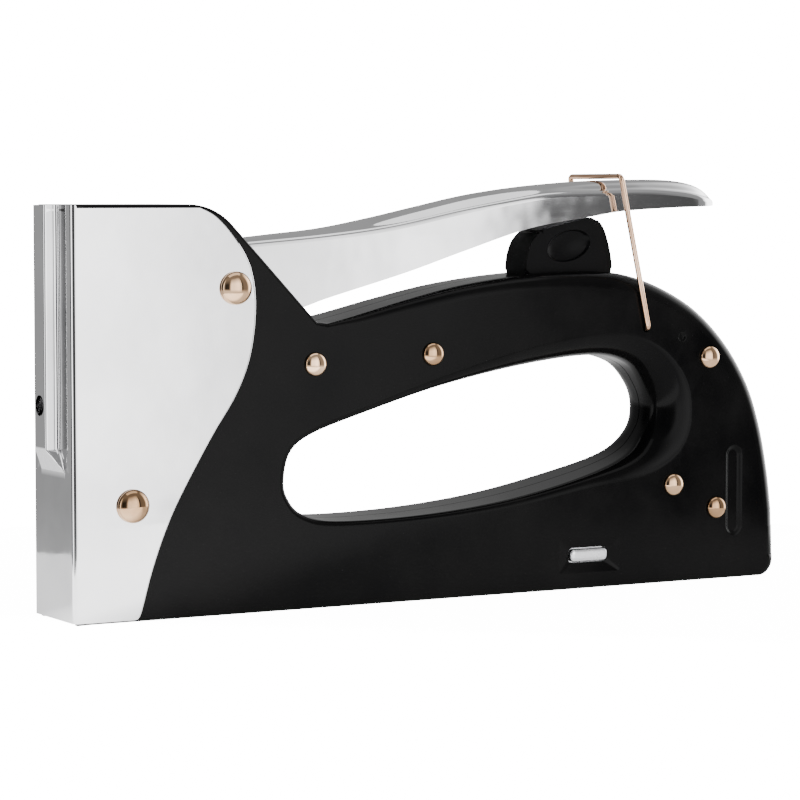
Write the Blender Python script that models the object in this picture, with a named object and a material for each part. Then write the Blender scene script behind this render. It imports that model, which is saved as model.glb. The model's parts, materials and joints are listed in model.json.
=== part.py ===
"""A hand staple gun (squeeze-lever tacker), modelled as its separate pieces.

Lengths below are millimetres: X runs rearward from the nose's front face, Y from the middle plane
(the left side is -Y) and Z up from the flat base. Blender's units are metres, and the finished tool is
centred on the world's origin.
"""

import math

import bmesh
import bpy
from mathutils import Matrix, Vector

MM = 0.001

# Overall sizes
NOSE_RIB_HEIGHT = 3.3
BODY_LENGTH = 201.9
HEAD_HEIGHT = 98.0
BODY_HALF_WIDTH = 11.0
CENTRE_X = (BODY_LENGTH - NOSE_RIB_HEIGHT) / 2

# Sheet and wire
SHELL_SHEET = 1.2
COVER_SHEET = 0.8
LEVER_SHEET = 1.3
BAIL_WIRE_RADIUS = 0.7
GAP = 0.15

# Nose cover
COVER_HALF_WIDTH = 11.9
COVER_BEND = 1.3
COVER_TOP = 97.1
COVER_FRONT_RISE = 0.75
COVER_BOTTOM = 0.6
RIB_HALF_WIDTH = 3.3
RIB_RAMP_TOP = 40.8
RIB_RAMP_BOTTOM = 35.5
RIB_HOLE_Z = 51.0
RIB_HOLE_RADIUS = 2.45

# Joint axes, as (X, Z) in the middle plane
LEVER_PIVOT = (42.0, 78.1)
BAIL_PIVOT = (159.8, 66.0)

# Lever
LEVER_HALF_WIDTH = 9.0
LEVER_FRONT = 45.2
LEVER_TIP_CENTRE = 177.0
LEVER_ARM_LENGTH = 22.4
LEVER_ARM_ANGLE = 8.0
BAIL_CROSSBAR = (151.2, 104.85)
BAIL_HALF_WIDTH = 12.0

# Rivets, as (X, Z)
LOWER_RIVET = (15.0, 27.5)
SHELL_RIVETS = ((63.8, 59.4), (96.6, 61.0), (179.5, 58.1), (168.4, 25.4), (181.9, 18.8))

# Hammer and main spring
HAMMER_BOTTOM = 34.8
HAMMER_TOP = 74.0
SPRING_X = 12.2
SPRING_RADIUS = 5.0
SPRING_WIRE = 0.9
SPRING_TOP = 91.6

# Magazine
MAGAZINE_REAR = 194.0
RAIL_FRONT = 4.8
STRIP_REAR = 58.0
ROD_Z = 5.8
CATCH_X = (137.0, 148.0)
CATCH_Z = (7.0, 10.2)
CATCH_PIVOT = (168.0, 9.2)
REAR_OPENING_TOP = 13.3
MAGAZINE_LIP = 7.9
OPEN_LIP = 9.25


# ---------------------------------------------------------------- scene and materials

def clear_scene():
    for obj in list(bpy.data.objects):
        bpy.data.objects.remove(obj, do_unlink=True)


def make_material(name, colour, metallic, roughness):
    material = bpy.data.materials.new(name)
    material.use_nodes = True
    shader = material.node_tree.nodes["Principled BSDF"]
    shader.inputs["Base Color"].default_value = (*colour, 1.0)
    shader.inputs["Metallic"].default_value = metallic
    shader.inputs["Roughness"].default_value = roughness
    return material


def make_materials():
    return {
        "chrome": make_material("chrome", (0.80, 0.80, 0.81), 1.0, 0.12),
        "nickel": make_material("nickel", (0.72, 0.66, 0.58), 1.0, 0.20),
        "bronze_wire": make_material("bronze_wire", (0.62, 0.45, 0.32), 1.0, 0.28),
        "black_paint": make_material("black_paint", (0.012, 0.012, 0.013), 0.0, 0.16),
        "black_plastic": make_material("black_plastic", (0.015, 0.015, 0.016), 0.0, 0.40),
        "rubber": make_material("rubber", (0.03, 0.03, 0.03), 0.0, 0.75),
        "steel": make_material("steel", (0.50, 0.50, 0.50), 1.0, 0.35),
        "dark_steel": make_material("dark_steel", (0.16, 0.16, 0.17), 1.0, 0.42),
        "spring_steel": make_material("spring_steel", (0.42, 0.42, 0.44), 1.0, 0.30),
        "staples": make_material("staples", (0.66, 0.64, 0.60), 1.0, 0.32),
    }


def joint_empty(name, x, y, z, parent=None):
    """An empty on a joint's axis, the parent of the pieces that the joint moves."""
    empty = bpy.data.objects.new(name, None)
    empty.empty_display_size = 0.01
    bpy.context.scene.collection.objects.link(empty)
    place = world(x, y, z)
    if parent:
        empty.parent = parent
        place = place - parent_place(parent)
    empty.location = place
    return empty


def parent_place(obj):
    """World position of an empty whose parents only move it."""
    place = Vector(obj.location)
    return place + parent_place(obj.parent) if obj.parent else place


def world(x, y, z):
    return Vector(((x - CENTRE_X) * MM, y * MM, z * MM))


def add_piece(name, mesh, material, joint=None):
    """Makes the object of a mesh in millimetres. Its origin is its joint's, or the middle of its box."""
    if joint:
        origin = parent_place(joint)
    else:
        corners = [Vector(v.co) for v in mesh.vertices]
        low = Vector(min(c[i] for c in corners) for i in range(3))
        high = Vector(max(c[i] for c in corners) for i in range(3))
        origin = world(*((low + high) / 2))
    to_metres = Matrix.Translation(-origin) @ Matrix.Scale(MM, 4) @ Matrix.Translation((-CENTRE_X, 0, 0))
    mesh.transform(to_metres)
    mesh.name = name
    mesh.materials.clear()
    mesh.materials.append(material)
    mesh.shade_smooth()
    mesh.set_sharp_from_angle(angle=math.radians(32))
    obj = bpy.data.objects.new(name, mesh)
    bpy.context.scene.collection.objects.link(obj)
    if joint:
        obj.parent = joint
    else:
        obj.location = origin
    return obj


# ---------------------------------------------------------------- curves and outlines

def curve_through(points, steps, closed=False):
    """Catmull-Rom curve through the points, each of which may hold any number of values."""
    count = len(points)
    result = []
    for i in range(count if closed else count - 1):
        before = points[(i - 1) % count] if closed or i > 0 else points[0]
        after = points[(i + 2) % count] if closed or i + 2 < count else points[-1]
        start, end = points[i], points[(i + 1) % count]
        for k in range(steps):
            t = k / steps
            result.append(tuple(
                0.5 * (2 * b + (c - a) * t + (2 * a - 5 * b + 4 * c - d) * t * t
                       + (3 * b - a - 3 * c + d) * t ** 3)
                for a, b, c, d in zip(before, start, end, after)))
    if not closed:
        result.append(tuple(points[-1]))
    return result


def value_at(table, x):
    """Straight-line interpolation in a table of (x, value) pairs."""
    if x <= table[0][0]:
        return table[0][1]
    for (x0, v0), (x1, v1) in zip(table, table[1:]):
        if x <= x1:
            return v0 + (v1 - v0) * (x - x0) / (x1 - x0)
    return table[-1][1]


def arc(cx, cz, radius, start_deg, end_deg, count):
    """Points on an arc, from start to end, measured anticlockwise from +X."""
    angles = [math.radians(start_deg + (end_deg - start_deg) * i / count) for i in range(count + 1)]
    return [(cx + radius * math.cos(a), cz + radius * math.sin(a)) for a in angles]


def offset_directions(points, closed=True):
    """For each point, the way its corner moves when the line is offset by 1 to its left."""
    count = len(points)
    result = []
    for i in range(count):
        normals = []
        for a, b in ((i - 1, i), (i, i + 1)):
            if not closed and (a < 0 or b >= count):
                continue
            (x0, z0), (x1, z1) = points[a % count], points[b % count]
            length = math.hypot(x1 - x0, z1 - z0)
            normals.append((-(z1 - z0) / length, (x1 - x0) / length))
        nx, nz = normals[0]
        mx, mz = normals[-1]
        share = 1 + nx * mx + nz * mz
        result.append(((nx + mx) / share, (nz + mz) / share))
    return result


def offset_line(points, distance, closed=False):
    return [(x + dx * distance, z + dz * distance)
            for (x, z), (dx, dz) in zip(points, offset_directions(points, closed))]


# ---------------------------------------------------------------- mesh helpers, all in millimetres

def finish_mesh(bm):
    bmesh.ops.recalc_face_normals(bm, faces=bm.faces)
    mesh = bpy.data.meshes.new("piece")
    bm.to_mesh(mesh)
    bm.free()
    return mesh


def bridge(bm, ring_a, ring_b, closed=True):
    """Quads between two rings with the same number of vertices."""
    count = len(ring_a)
    for i in range(count if closed else count - 1):
        j = (i + 1) % count
        bm.faces.new((ring_a[i], ring_a[j], ring_b[j], ring_b[i]))


def ring_edges(bm, ring):
    count = len(ring)
    return [bm.edges.get((ring[i], ring[(i + 1) % count])) or
            bm.edges.new((ring[i], ring[(i + 1) % count])) for i in range(count)]


def fill_between(bm, rings):
    """Fills a flat area that the first ring bounds, leaving out the other rings."""
    edges = [edge for ring in rings for edge in ring_edges(bm, ring)]
    bmesh.ops.triangle_fill(bm, edges=edges, use_beauty=True)


def box(x, y, z, bevel=0.0):
    """Mesh of a box, given as its lowest and highest value along each axis."""
    bm = bmesh.new()
    size = [b - a for a, b in (x, y, z)]
    middle = [(a + b) / 2 for a, b in (x, y, z)]
    bmesh.ops.create_cube(bm, size=1, matrix=Matrix.Translation(middle) @ Matrix.Diagonal((*size, 1)))
    if bevel:
        bmesh.ops.bevel(bm, geom=bm.edges[:], offset=bevel, segments=1, affect="EDGES")
    return finish_mesh(bm)


def prism(outline, y, bevel=0.0, segments=1):
    """Mesh of an (X, Z) outline extruded between two values of Y, with its side edges rounded."""
    bm = bmesh.new()
    near = [bm.verts.new((x, y[0], z)) for x, z in outline]
    far = [bm.verts.new((x, y[1], z)) for x, z in outline]
    bm.faces.new(near)
    bm.faces.new(far)
    bridge(bm, near, far)
    if bevel:
        rims = ring_edges(bm, near) + ring_edges(bm, far)
        bmesh.ops.bevel(bm, geom=rims, offset=bevel, segments=segments, profile=0.5, affect="EDGES")
    return finish_mesh(bm)


def extrude_along_x(section, x):
    """Mesh of a (Y, Z) outline extruded between two values of X."""
    bm = bmesh.new()
    rings = [[bm.verts.new((value, y, z)) for y, z in section] for value in x]
    bm.faces.new(rings[0])
    bm.faces.new(rings[1])
    bridge(bm, rings[0], rings[1])
    return finish_mesh(bm)


def turned(profile, centre, axis, sides):
    """Mesh turned from a (distance along axis, radius) profile. A radius of 0 closes an end."""
    bm = bmesh.new()
    frame = {
        "x": (Vector((1, 0, 0)), Vector((0, 1, 0)), Vector((0, 0, 1))),
        "y": (Vector((0, 1, 0)), Vector((0, 0, 1)), Vector((1, 0, 0))),
        "z": (Vector((0, 0, 1)), Vector((1, 0, 0)), Vector((0, 1, 0))),
    }[axis]
    rings = []
    for along, radius in profile:
        middle = Vector(centre) + frame[0] * along
        if radius == 0:
            rings.append([bm.verts.new(middle)])
            continue
        turns = [2 * math.pi * i / sides for i in range(sides)]
        rings.append([bm.verts.new(middle + frame[1] * radius * math.cos(a) + frame[2] * radius * math.sin(a))
                      for a in turns])
    closed_tube = profile[0][1] and profile[-1][1]
    pairs = list(zip(rings, rings[1:])) + ([(rings[-1], rings[0])] if closed_tube else [])
    for first, second in pairs:
        if len(first) == 1 or len(second) == 1:
            tip, ring = (first[0], second) if len(first) == 1 else (second[0], first)
            for i in range(sides):
                bm.faces.new((tip, ring[i], ring[(i + 1) % sides]))
        else:
            bridge(bm, first, second)
    return finish_mesh(bm)


def rod(centre, radius, start, end, axis, sides=14):
    """Mesh of a cylinder with flat ends."""
    return turned([(start, 0), (start, radius), (end, radius), (end, 0)], centre, axis, sides)


def tube(route, radius, sides):
    """Mesh of a round wire along a route of (X, Y, Z) points, with flat ends."""
    bm = bmesh.new()
    points = [Vector(p) for p in route]
    tangents = []
    for i in range(len(points)):
        ahead = points[min(i + 1, len(points) - 1)] - points[i]
        behind = points[i] - points[max(i - 1, 0)]
        tangents.append((ahead.normalized() + behind.normalized()).normalized())
    side = tangents[0].orthogonal().normalized()
    rings = []
    for i, (point, tangent) in enumerate(zip(points, tangents)):
        side = (side - tangent * side.dot(tangent)).normalized()
        other = tangent.cross(side)
        bend = 1.0
        if 0 < i < len(points) - 1:
            bend = max(0.5, (points[i + 1] - point).normalized().dot(tangent))
        inward = Vector((0, 0, 0))
        if bend < 0.999:
            inward = ((points[i + 1] - point).normalized() - (point - points[i - 1]).normalized()).normalized()
        ring = []
        for k in range(sides):
            a = 2 * math.pi * k / sides
            spoke = side * radius * math.cos(a) + other * radius * math.sin(a)
            spoke += inward * spoke.dot(inward) * (1 / bend - 1)
            ring.append(bm.verts.new(point + spoke))
        rings.append(ring)
    for first, second in zip(rings, rings[1:]):
        bridge(bm, first, second)
    bm.faces.new(rings[0])
    bm.faces.new(rings[-1])
    return finish_mesh(bm)


def combine(first, others, operation):
    """Exact Boolean of meshes, given back as one mesh."""
    collection = bpy.context.scene.collection
    base = bpy.data.objects.new("base", first)
    collection.objects.link(base)
    helpers = []
    for other in others:
        helper = bpy.data.objects.new("helper", other)
        collection.objects.link(helper)
        helpers.append(helper)
        modifier = base.modifiers.new("cut", "BOOLEAN")
        modifier.operation = operation
        modifier.solver = "EXACT"
        modifier.object = helper
    bpy.context.view_layer.update()
    graph = bpy.context.evaluated_depsgraph_get()
    result = bpy.data.meshes.new_from_object(base.evaluated_get(graph))
    for obj in [base] + helpers:
        bpy.data.objects.remove(obj, do_unlink=True)
    return result


def joined(*meshes):
    return combine(meshes[0], meshes[1:], "UNION")


def cut(mesh, *cutters):
    return combine(mesh, cutters, "DIFFERENCE")


# ---------------------------------------------------------------- body shells

def slant_x(z):
    """X of the head's slanted rear edge at a height."""
    top_x, top_z = 42.07, 93.05
    return top_x + (top_z - z) * 0.957


def body_outline():
    """The shell's outline from its bottom front corner, anticlockwise, as (X, Z, edge radius, lip).

    The lip is how near to the middle plane the turned-in edge comes.
    """
    stations = [(1.3, 0.0, 0.3, OPEN_LIP), (4.4, 0.0, 0.9, MAGAZINE_LIP)]
    stations += [(x, 0.0, 0.9, MAGAZINE_LIP) for x in (70.0, 130.0, 180.0)]
    corner = arc(196.4, 5.5, 5.5, -90, 0, 5)
    stations += [(x, z, 1.0 + 0.6 * i, MAGAZINE_LIP) for i, (x, z) in enumerate(corner)]
    stations += [(201.85, REAR_OPENING_TOP - 0.4, 4.3, MAGAZINE_LIP), (201.8, REAR_OPENING_TOP, 4.4, GAP)]
    back = [(201.7, 17.5), (200.2, 28.5), (197.5, 40.5), (193.4, 51.2), (186.6, 61.4), (177.6, 70.0),
            (167.0, 76.0), (156.0, 79.6), (146.0, 80.7), (132.0, 80.5), (118.4, 79.4), (104.4, 77.4),
            (90.5, 74.4), (77.0, 71.1)]
    for x, z in curve_through(back, 2):
        radius = value_at(((77, 2.2), (100, 3.4), (150, 4.5), (202, 4.5)), x)
        lip = 3.4 if 131.5 < x < 147.5 else GAP
        stations.append((x, z, radius, lip))
    stations += [(71.0, 69.75, 1.4, GAP), (67.0, 69.0, 1.0, GAP)]
    stations += [(slant_x(z), z, 0.9, OPEN_LIP) for z in (69.6, 81.0, 93.05)]
    head = arc(30.5, 82.0, 16.0, 43.7, 90, 6)[1:]
    stations += [(x, z, 0.9, OPEN_LIP if x > 38 else GAP) for x, z in head]
    stations += [(3.8, HEAD_HEIGHT, 0.9, GAP), (1.3, HEAD_HEIGHT, 0.3, OPEN_LIP)]
    stations += [(1.3, z, 0.3, OPEN_LIP) for z in (65.0, 32.0)]
    return stations


def grip_outline():
    """The finger hole's outline, anticlockwise, as (X, Z, edge radius, lip)."""
    points = [(55.8, 32.0, 1.6), (56.6, 27.4, 1.5), (60.6, 23.2, 1.5), (70.0, 20.9, 1.4), (94.0, 21.2, 1.4),
              (119.0, 23.7, 1.9), (142.0, 28.4, 2.9), (157.0, 33.2, 6.0), (163.3, 38.9, 9.0),
              (165.1, 44.8, 9.3), (163.2, 51.0, 8.8), (157.6, 56.9, 7.0), (146.0, 59.2, 6.0),
              (125.0, 57.4, 4.6), (100.0, 53.0, 2.5), (77.5, 47.0, 1.6), (63.5, 42.5, 1.5), (57.6, 38.4, 1.5)]
    return [(x, z, radius, GAP) for x, z, radius in curve_through(points, 2, closed=True)]


def skin_rings(bm, stations, side, depth, steps, sign):
    """Rings of one skin of a turned-in edge, from its lip to the flat side of the shell."""
    outline = [(x, z) for x, z, _, _ in stations]
    inward = offset_directions(outline)
    rings = []
    for k in range(-1, steps + 1):
        angle = math.pi / 2 * max(k, 0) / steps
        ring = []
        for (x, z, radius, lip), (dx, dz) in zip(stations, inward):
            bend = max(radius - depth, 0.35 if depth else 0.0)
            inset = (depth + bend * (1 - math.cos(angle))) * sign
            y = BODY_HALF_WIDTH - depth - bend + bend * math.sin(angle)
            if k < 0:
                y = min(lip, y - 0.2)
            ring.append(bm.verts.new((x + dx * inset, side * y, z + dz * inset)))
        rings.append(ring)
    for first, second in zip(rings, rings[1:]):
        bridge(bm, first, second)
    return rings


def hole_through_side(bm, outline, side):
    """A straight hole through the flat side. Gives its rings on the outer and the inner skin."""
    outer = [bm.verts.new((x, side * BODY_HALF_WIDTH, z)) for x, z in outline]
    inner = [bm.verts.new((x, side * (BODY_HALF_WIDTH - SHELL_SHEET), z)) for x, z in outline]
    bridge(bm, outer, inner)
    return outer, inner


def pressed_recess(bm, outline, side, depth, inset):
    """A shallow recess with sloping sides pressed into the flat side. Gives its outer ring and its floor."""
    outer = [bm.verts.new((x, side * BODY_HALF_WIDTH, z)) for x, z in outline]
    floor = [bm.verts.new((x, side * (BODY_HALF_WIDTH - depth), z))
             for x, z in offset_line(outline, inset, True)]
    bridge(bm, outer, floor)
    return outer, floor


def rectangle(x0, x1, z0, z1):
    return [(x0, z0), (x1, z0), (x1, z1), (x0, z1)]


def circle(centre, radius, count):
    return arc(centre[0], centre[1], radius, 0, 360, count)[:-1]


def slot_outline(x, z0, z1, radius, count=5):
    """An upright slot with round ends."""
    return arc(x, z1 - radius, radius, 0, 180, count) + arc(x, z0 + radius, radius, 180, 360, count)


def make_shell(side):
    """One pressed-steel half of the body: a flat side with its edges turned in to the middle plane."""
    bm = bmesh.new()
    outer_rings, inner_rings = [], []
    for stations, sign in ((body_outline(), 1), (grip_outline(), -1)):
        outer = skin_rings(bm, stations, side, 0.0, 3, sign)
        inner = skin_rings(bm, stations, side, SHELL_SHEET, 2, sign)
        bridge(bm, outer[0], inner[0])
        outer_rings.append(outer[-1])
        inner_rings.append(inner[-1])
    holes = [(LEVER_PIVOT, 3.3), (LOWER_RIVET, 2.8), (BAIL_PIVOT, BAIL_WIRE_RADIUS + 0.3)]
    holes += [(centre, 1.8) for centre in SHELL_RIVETS]
    for centre, radius in holes:
        outer, inner = hole_through_side(bm, circle(centre, radius, 10), side)
        outer_rings.append(outer)
        inner_rings.append(inner)
    # The catch button's slot lies at the bottom of a recess with four sloping sides.
    outer = [bm.verts.new((x, side * BODY_HALF_WIDTH, z)) for x, z in rectangle(133.4, 152.2, 4.0, 13.2)]
    slot = rectangle(CATCH_X[0] - 0.3, CATCH_X[1] + 0.3, CATCH_Z[0] - 0.3, CATCH_Z[1] + 0.3)
    slot_outer = [bm.verts.new((x, side * (BODY_HALF_WIDTH - 0.7), z)) for x, z in slot]
    slot_inner = [bm.verts.new((x, side * (BODY_HALF_WIDTH - SHELL_SHEET), z)) for x, z in slot]
    bridge(bm, outer, slot_outer)
    bridge(bm, slot_outer, slot_inner)
    outer_rings.append(outer)
    inner_rings.append(slot_inner)
    # A stiffening groove behind the rear rivets, and a small locating dimple.
    outer, floor = pressed_recess(bm, slot_outline(187.6, 11.0, 35.0, 2.7), side, 0.6, 0.7)
    outer_rings.append(outer)
    bm.faces.new(floor)
    outer, floor = pressed_recess(bm, circle((171.0, 63.5), 1.3, 8), side, 0.5, 0.6)
    outer_rings.append(outer)
    bm.faces.new(floor)
    fill_between(bm, outer_rings)
    fill_between(bm, inner_rings)
    return finish_mesh(bm)


# ---------------------------------------------------------------- nose cover

def cover_rear_edge():
    """Curve of the cover's rear edge from its bottom to its top, as (X, Z)."""
    points = [(15.6, COVER_BOTTOM), (17.2, 2.0), (20.1, 11.7), (23.4, 20.5), (27.5, 29.0), (35.8, 42.9),
              (41.7, 51.7), (45.2, 59.0), (47.0, 66.5), (47.6, 75.0), (46.6, 82.0), (44.3, 87.0),
              (40.5, 92.0), (36.9, 95.3), (33.2, COVER_TOP)]
    return curve_through(points, 2)


def cover_section(rear_x, z):
    """The cover's outer line at a height, from the right side's rear edge round the nose to the left's."""
    rise = min(max((z - RIB_RAMP_BOTTOM) / (RIB_RAMP_TOP - RIB_RAMP_BOTTOM), 0), 1)
    flare = 1 + 1.1 * (1 - rise) ** 0.8
    half = [(rear_x, COVER_HALF_WIDTH)]
    bend = arc(COVER_BEND, COVER_HALF_WIDTH - COVER_BEND, COVER_BEND, 90, 180, 3)
    half += bend
    rib = [(0.0, 0.9), (-0.3, 0.3), (-2.4, 0.0), (-3.05, -0.25), (-NOSE_RIB_HEIGHT, -0.9)]
    half += [(x * rise, (RIB_HALF_WIDTH + y) * flare) for x, y in rib]
    return half + [(x, -y) for x, y in reversed(half)]


def top_of_cover(z, k, count):
    """Height of a point of a row: in the top row, the nose stands a little above the two sides."""
    return z + COVER_FRONT_RISE if z == COVER_TOP and 2 <= k < count - 2 else z


def make_nose_cover():
    bm = bmesh.new()
    edge = cover_rear_edge()
    rows = sorted({round(z, 3) for _, z in edge} | {RIB_RAMP_BOTTOM, RIB_RAMP_TOP})
    table = sorted((z, x) for x, z in edge)
    skins = []
    for depth in (0.0, COVER_SHEET):
        skin = []
        for z in rows:
            section = cover_section(value_at(table, z), z)
            if depth:
                section = offset_line(section, depth)
            count = len(section)
            skin.append([bm.verts.new((x, y, top_of_cover(z, k, count))) for k, (x, y) in enumerate(section)])
        for first, second in zip(skin, skin[1:]):
            bridge(bm, first, second, closed=False)
        skins.append(skin)
    outer, inner = skins
    for end in (0, -1):
        bridge(bm, outer[end], inner[end], closed=False)
        column_a = [row[end] for row in outer]
        column_b = [row[end] for row in inner]
        bridge(bm, column_a, column_b, closed=False)
    cover = finish_mesh(bm)
    cutters = [rod((LEVER_PIVOT[0], 0, LEVER_PIVOT[1]), 3.3, -14, 14, "y"),
               rod((LOWER_RIVET[0], 0, LOWER_RIVET[1]), 2.8, -14, 14, "y"),
               rod((0, 0, RIB_HOLE_Z), RIB_HOLE_RADIUS, -5, 0.2, "x")]
    return cut(cover, *cutters)


# ---------------------------------------------------------------- rivets

def dome(start, radius, height, direction, steps=3):
    """Profile of a rivet head, from its underside's rim to its top, as (along, radius)."""
    points = [(start, radius)]
    for k in range(1, steps):
        a = math.pi / 2 * k / steps
        points.append((start + direction * height * math.sin(a), radius * math.cos(a)))
    return points + [(start + direction * height, 0)]


def make_rivet(centre, shank, head_radius, head_height, surface, sides):
    """A round-head rivet right through the tool, with a dome on each side."""
    right = [(surface, shank)] + dome(surface, head_radius, head_height, 1)
    left = [(-along, radius) for along, radius in reversed(right)]
    return turned(left + right, (centre[0], 0, centre[1]), "y", sides)


# ---------------------------------------------------------------- lever

CROWN = [(LEVER_FRONT, 89.45), (58.1, 90.75), (71.3, 92.1), (84.7, 94.5), (98.4, 97.35), (112.2, 100.15),
         (126.4, 102.1), (140.8, 103.35), (151.0, 103.85), (163.0, 104.1), (172.0, 104.0), (178.0, 103.3),
         (182.0, 101.9), (185.9, 99.0)]
SHOULDER = [(LEVER_FRONT, 88.85), (67.9, 90.7), (86.7, 93.0), (106.9, 96.9), (125.9, 100.0), (135.0, 101.0),
            (151.0, 101.5), (163.0, 101.7), (174.0, 101.0), (180.0, 99.8), (185.9, 98.4)]
LOWER_EDGE = [(LEVER_FRONT, 71.6), (56.0, 71.8), (62.3, 73.3), (68.3, 75.2), (90.1, 81.1), (106.9, 86.3),
              (125.9, 91.8), (144.7, 94.7), (154.0, 96.0), (168.6, 96.8), (180.7, 97.2), (185.9, 97.5)]


def lever_section(x):
    """The lever's outer line at X, from its left lower edge over the crown to its right, as (Y, Z)."""
    half_width = LEVER_HALF_WIDTH
    if x > LEVER_TIP_CENTRE:
        half_width = math.sqrt(max(LEVER_HALF_WIDTH ** 2 - (x - LEVER_TIP_CENTRE) ** 2, 1.0))
    crown, shoulder, lower = value_at(CROWN, x), value_at(SHOULDER, x), value_at(LOWER_EDGE, x)
    drop = min(1.6, (shoulder - lower) * 0.6)
    half = [(half_width, lower), (half_width, shoulder - drop),
            (half_width * 0.955, shoulder - 0.28 * drop), (half_width * 0.83, shoulder + 0.12),
            (half_width * 0.48, shoulder + (crown - shoulder) * 0.76)]
    return [(-y, z) for y, z in half] + [(0.0, crown)] + list(reversed(half))


def lever_channel():
    """The lever's pressed channel, open below, from the head to its rounded tail."""
    tail = [LEVER_TIP_CENTRE + LEVER_HALF_WIDTH * math.sin(math.radians(a)) for a in (0, 22, 40, 55, 68, 80)]
    stations = [LEVER_FRONT, 56, 62.3, 68, 76, 84, 92, 100, 108, 116, 125, 134, 143, 152, 161, 170] + tail
    bm = bmesh.new()
    rings = []
    for x in stations:
        outer = lever_section(x)
        inner = offset_line(outer, -min(LEVER_SHEET, abs(outer[0][0]) * 0.55))
        loop = outer + list(reversed(inner))
        rings.append([bm.verts.new((x, y, z)) for y, z in loop])
    for first, second in zip(rings, rings[1:]):
        bridge(bm, first, second)
    half = len(rings[0]) // 2
    for ring in (rings[0], rings[-1]):
        for i in range(half - 1):
            bm.faces.new((ring[i], ring[i + 1], ring[-2 - i], ring[-1 - i]))
    return finish_mesh(bm)


def lever_cheek_outline():
    """A cheek: the arm that lifts the hammer, the boss round the pivot and the root of the lever's side."""
    px, pz = LEVER_PIVOT
    lean = math.radians(180 - LEVER_ARM_ANGLE)
    along = (math.cos(lean), math.sin(lean))
    across = (-along[1], along[0])
    arm = [(LEVER_ARM_LENGTH, -2.2), (LEVER_ARM_LENGTH - 0.6, -2.9), (7.0, -4.6)]
    under = [(px + a * along[0] - b * across[0], pz + a * along[1] - b * across[1]) for a, b in arm]
    over = [(px + a * along[0] + b * across[0], pz + a * along[1] + b * across[1]) for a, b in arm]
    boss_below = arc(px, pz, 8.5, 225, 290, 4)
    boss_above = arc(px, pz, 8.5, 60, 135, 4)
    root = [(56.0, 72.1), (61.0, 73.4), (61.0, 88.0), (50.0, 87.4)]
    lower_arm = over if over[0][1] < under[0][1] else under
    upper_arm = under if lower_arm is over else over
    return lower_arm + boss_below + root + boss_above + list(reversed(upper_arm))


def make_lever():
    parts = [lever_channel()]
    outline = lever_cheek_outline()
    for side in (-1, 1):
        walls = sorted((side * (LEVER_HALF_WIDTH - LEVER_SHEET + 0.05), side * (LEVER_HALF_WIDTH - 0.05)))
        parts.append(prism(outline, walls))
    pivot_hole = rod((LEVER_PIVOT[0], 0, LEVER_PIVOT[1]), 4.5, -12, 12, "y", 16)
    return cut(joined(*parts), pivot_hole)


def make_lever_bush():
    profile = [(-9.5, 3.3), (-9.5, 4.2), (9.5, 4.2), (9.5, 3.3)]
    return turned(profile, (LEVER_PIVOT[0], 0, LEVER_PIVOT[1]), "y", 16)


def make_lever_spring():
    """Torsion spring round the bush: one leg lies under the lever's top, the other points down."""
    px, pz = LEVER_PIVOT
    radius, turns, steps = 5.4, 4, 12
    start = math.radians(90)
    coil = []
    for i in range(turns * steps + steps // 2 + 1):
        a = start + 2 * math.pi * i / steps
        coil.append((px + radius * math.cos(a), -4.5 + 9.0 * i / (turns * steps + steps // 2),
                     pz + radius * math.sin(a)))
    upper_leg = [(px + 15.0, -5.4, pz + 7.8), (px + 3.4, -4.9, pz + 5.6)]
    lower_leg = [(px + 4.0, 4.9, pz - 6.4), (px + 11.0, 5.4, pz - 9.6)]
    return tube(upper_leg + coil + lower_leg, 0.5, 6)


# ---------------------------------------------------------------- wire bail and bumper

def rounded_route(corners, radius, steps):
    """A route through corner points, with each inner corner rounded."""
    points = [Vector(c) for c in corners]
    route = [points[0]]
    for before, corner, after in zip(points, points[1:], points[2:]):
        to_start = (before - corner).normalized() * radius
        to_end = (after - corner).normalized() * radius
        for k in range(steps + 1):
            t = k / steps
            route.append(corner + to_start * (1 - t) ** 2 + to_end * t ** 2)
    return route + [points[-1]]


def make_wire_bail():
    px, pz = BAIL_PIVOT
    cx, cz = BAIL_CROSSBAR
    w = BAIL_HALF_WIDTH
    foot = BODY_HALF_WIDTH - SHELL_SHEET - 0.6
    corners = [(px, -foot, pz), (px, -w, pz), (cx, -w, cz), (cx, w, cz), (px, w, pz), (px, foot, pz)]
    return tube(rounded_route(corners, 1.1, 2), BAIL_WIRE_RADIUS, 8)


def make_bumper():
    """The stop under the lever: a block on the body's top edge, held by a foot between the shells."""
    base = [(153.2, 80.4), (151.0, 80.65), (146.0, 80.95), (139.0, 81.0), (132.0, 80.75), (127.2, 80.45)]
    front = [(127.3, 83.0), (127.8, 85.6), (129.1, 88.5), (131.0, 90.5)]
    top = [(133.0, 91.6), (139.8, 93.1), (145.9, 94.35)]
    rear = [(148.6, 93.7), (150.8, 90.9), (152.5, 85.4)]
    block = prism(base + front + top + rear, (-5.2, 5.2), bevel=1.1, segments=2)
    stem = box((134.6, 144.4), (-3.0, 3.0), (75.5, 83.5))
    foot = box((133.0, 146.0), (-7.5, 7.5), (74.3, 76.6))
    return joined(block, stem, foot)


# ---------------------------------------------------------------- hammer and power spring

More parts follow.
